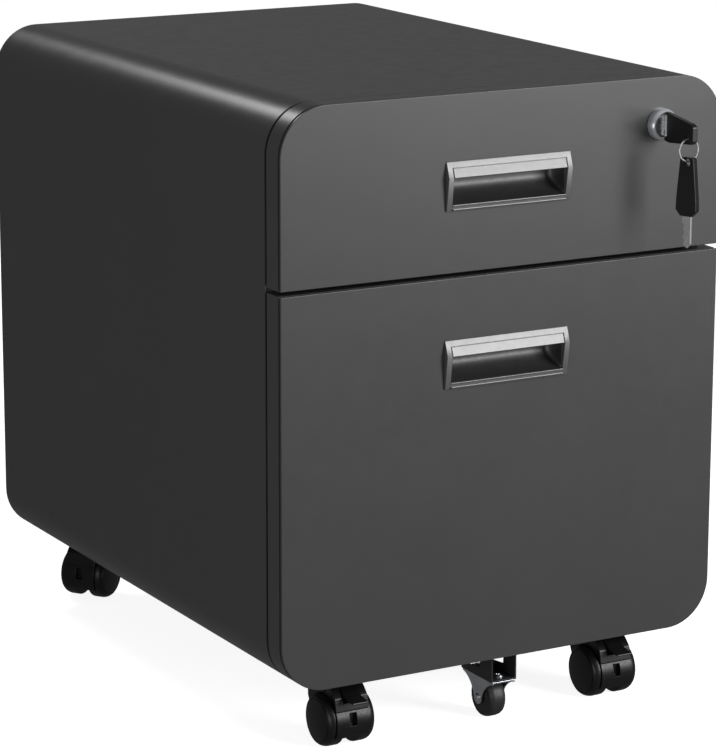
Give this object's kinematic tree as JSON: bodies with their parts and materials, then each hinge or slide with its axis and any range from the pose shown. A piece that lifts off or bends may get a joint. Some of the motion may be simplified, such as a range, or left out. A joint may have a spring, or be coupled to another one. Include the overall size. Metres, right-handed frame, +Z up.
{
  "type": "rolling pedestal cabinet",
  "caption": "Rounded steel pedestal cabinet on twin-wheel casters, with a shallow drawer over a file drawer, recessed pulls, a keyed cam lock and an anti-tip wheel.",
  "frame": {"origin": "on the floor, under the middle of the object's bounding box, with the key in the lock", "axes": "+X to the right seen from the front, -Y towards the user, +Z up"},
  "size_m": [0.39, 0.5678, 0.509],
  "materials": {
    "body_paint": "satin charcoal powder coat",
    "box_paint": "satin black powder coat",
    "zinc": "bright zinc plate",
    "chrome": "polished chrome plate",
    "key_steel": "nickel-plated steel",
    "handle_grey": "satin silver-grey paint on plastic",
    "black_plastic": "smooth moulded black",
    "caster_plastic": "semi-gloss moulded nylon",
    "wheel_tyre": "moulded nylon tread"
  },
  "bodies": {
    "carcass": {"carcass_shell": "body_paint", "back_panel": "body_paint", "back_panel_screws": "zinc", "uprights_left": "box_paint", "uprights_right": "box_paint", "base_rails": "box_paint", "caster_plates": "zinc", "caster_plate_screws": "zinc", "upper_slide_outers": "zinc", "lower_slide_outers": "zinc", "lock_keeper": "box_paint"},
    "lock_bar": {"lock_bar": "zinc"},
    "upper_slide_members": {"upper_slide_middles": "zinc"},
    "lower_slide_members": {"lower_slide_middles": "zinc"},
    "upper_drawer": {"upper_slide_inners": "zinc", "upper_front_skin": "body_paint", "upper_inner_pan": "body_paint", "upper_drawer_box": "box_paint", "upper_handle_frame": "handle_grey", "upper_handle_lip": "handle_grey", "lock_housing": "chrome", "lock_nut": "zinc"},
    "lower_drawer": {"lower_slide_inners": "zinc", "lower_front_skin": "body_paint", "lower_inner_pan": "body_paint", "lower_drawer_box": "box_paint", "lower_handle_frame": "handle_grey", "lower_handle_lip": "handle_grey", "file_rails": "box_paint", "anti_tip_bracket": "box_paint", "anti_tip_fork": "zinc", "anti_tip_screws": "zinc", "anti_tip_axle": "zinc"},
    "anti_tip_wheel": {"anti_tip_wheel": "wheel_tyre"},
    "lock_plug": {"lock_plug": "zinc", "lock_cam": "zinc", "lock_cam_screw": "zinc"},
    "key": {"key_blade": "key_steel", "key_bow": "black_plastic"},
    "key_ring": {"key_ring": "key_steel"},
    "spare_key": {"spare_key_bow": "black_plastic", "spare_key_blade": "key_steel"},
    "front_left_caster": {"front_left_caster_hood": "caster_plastic", "front_left_caster_axle": "zinc"},
    "front_left_caster_wheel_a": {"front_left_caster_wheel_a": "caster_plastic"},
    "front_left_caster_wheel_b": {"front_left_caster_wheel_b": "caster_plastic"},
    "front_left_caster_brake": {"front_left_caster_brake": "caster_plastic"},
    "front_right_caster": {"front_right_caster_hood": "caster_plastic", "front_right_caster_axle": "zinc"},
    "front_right_caster_wheel_a": {"front_right_caster_wheel_a": "caster_plastic"},
    "front_right_caster_wheel_b": {"front_right_caster_wheel_b": "caster_plastic"},
    "front_right_caster_brake": {"front_right_caster_brake": "caster_plastic"},
    "rear_left_caster": {"rear_left_caster_hood": "caster_plastic", "rear_left_caster_axle": "zinc"},
    "rear_left_caster_wheel_a": {"rear_left_caster_wheel_a": "caster_plastic"},
    "rear_left_caster_wheel_b": {"rear_left_caster_wheel_b": "caster_plastic"},
    "rear_right_caster": {"rear_right_caster_hood": "caster_plastic", "rear_right_caster_axle": "zinc"},
    "rear_right_caster_wheel_a": {"rear_right_caster_wheel_a": "caster_plastic"},
    "rear_right_caster_wheel_b": {"rear_right_caster_wheel_b": "caster_plastic"}
  },
  "joints": [
    {"name": "upper_drawer_slide", "type": "slide", "parent": "carcass", "child": "upper_drawer", "axis": [0, -1, 0], "range_m": [0, 0.42]},
    {"name": "upper_slide_extend", "type": "slide", "parent": "carcass", "child": "upper_slide_members", "axis": [0, -1, 0], "range_m": [0, 0.21]},
    {"name": "lower_drawer_slide", "type": "slide", "parent": "carcass", "child": "lower_drawer", "axis": [0, -1, 0], "range_m": [0, 0.42]},
    {"name": "lower_slide_extend", "type": "slide", "parent": "carcass", "child": "lower_slide_members", "axis": [0, -1, 0], "range_m": [0, 0.21]},
    {"name": "lock_turn", "type": "hinge", "parent": "upper_drawer", "child": "lock_plug", "pos_m": [0.1385, -0.23606, 0.4723], "axis": [0, 1, 0], "range_deg": [0, 90]},
    {"name": "lock_bar_drop", "type": "slide", "parent": "carcass", "child": "lock_bar", "axis": [0, 0, -1], "range_m": [0, 0.012]},
    {"name": "key_withdraw", "type": "slide", "parent": "lock_plug", "child": "key", "axis": [0, -1, 0], "range_m": [0, 0.024]},
    {"name": "key_ring_swing", "type": "hinge", "parent": "key", "child": "key_ring", "pos_m": [0.1385, -0.27406, 0.4661], "axis": [1, 0, 0], "range_deg": [-10, 10]},
    {"name": "spare_key_swing", "type": "hinge", "parent": "key_ring", "child": "spare_key", "pos_m": [0.1385, -0.27406, 0.4487], "axis": [1, 0, 0], "range_deg": [-12, 12]},
    {"name": "front_left_caster_swivel", "type": "hinge", "parent": "carcass", "child": "front_left_caster", "pos_m": [-0.122, -0.18056, 0.05], "axis": [0, 0, 1], "continuous": true},
    {"name": "front_left_caster_roll_a", "type": "hinge", "parent": "front_left_caster", "child": "front_left_caster_wheel_a", "pos_m": [-0.122, -0.19456, 0.021], "axis": [1, 0, 0], "continuous": true},
    {"name": "front_left_caster_roll_b", "type": "hinge", "parent": "front_left_caster", "child": "front_left_caster_wheel_b", "pos_m": [-0.122, -0.19456, 0.021], "axis": [1, 0, 0], "continuous": true},
    {"name": "front_left_caster_brake_press", "type": "hinge", "parent": "front_left_caster", "child": "front_left_caster_brake", "pos_m": [-0.122, -0.19556, 0.0453], "axis": [1, 0, 0], "range_deg": [0, 10]},
    {"name": "front_right_caster_swivel", "type": "hinge", "parent": "carcass", "child": "front_right_caster", "pos_m": [0.122, -0.18056, 0.05], "axis": [0, 0, 1], "continuous": true},
    {"name": "front_right_caster_roll_a", "type": "hinge", "parent": "front_right_caster", "child": "front_right_caster_wheel_a", "pos_m": [0.122, -0.19456, 0.021], "axis": [1, 0, 0], "continuous": true},
    {"name": "front_right_caster_roll_b", "type": "hinge", "parent": "front_right_caster", "child": "front_right_caster_wheel_b", "pos_m": [0.122, -0.19456, 0.021], "axis": [1, 0, 0], "continuous": true},
    {"name": "front_right_caster_brake_press", "type": "hinge", "parent": "front_right_caster", "child": "front_right_caster_brake", "pos_m": [0.122, -0.19556, 0.0453], "axis": [1, 0, 0], "range_deg": [0, 10]},
    {"name": "rear_left_caster_swivel", "type": "hinge", "parent": "carcass", "child": "rear_left_caster", "pos_m": [-0.118, 0.25794, 0.05], "axis": [0, 0, 1], "continuous": true},
    {"name": "rear_left_caster_roll_a", "type": "hinge", "parent": "rear_left_caster", "child": "rear_left_caster_wheel_a", "pos_m": [-0.12933, 0.24971, 0.021], "axis": [0.5878, -0.809, 0], "continuous": true},
    {"name": "rear_left_caster_roll_b", "type": "hinge", "parent": "rear_left_caster", "child": "rear_left_caster_wheel_b", "pos_m": [-0.12933, 0.24971, 0.021], "axis": [0.5878, -0.809, 0], "continuous": true},
    {"name": "rear_right_caster_swivel", "type": "hinge", "parent": "carcass", "child": "rear_right_caster", "pos_m": [0.118, 0.25794, 0.05], "axis": [0, 0, 1], "continuous": true},
    {"name": "rear_right_caster_roll_a", "type": "hinge", "parent": "rear_right_caster", "child": "rear_right_caster_wheel_a", "pos_m": [0.12603, 0.24647, 0.021], "axis": [0.8192, 0.5736, 0], "continuous": true},
    {"name": "rear_right_caster_roll_b", "type": "hinge", "parent": "rear_right_caster", "child": "rear_right_caster_wheel_b", "pos_m": [0.12603, 0.24647, 0.021], "axis": [0.8192, 0.5736, 0], "continuous": true},
    {"name": "anti_tip_wheel_roll", "type": "hinge", "parent": "lower_drawer", "child": "anti_tip_wheel", "pos_m": [0.012, -0.19706, 0.0165], "axis": [1, 0, 0], "continuous": true}
  ],
  "couplings": [
    {"joint": "upper_slide_extend", "follows": "upper_drawer_slide", "ratio": 0.5},
    {"joint": "lower_slide_extend", "follows": "lower_drawer_slide", "ratio": 0.5},
    {"joint": "lock_bar_drop", "follows": "lock_turn", "m_per_rad": 0.007639}
  ]
}
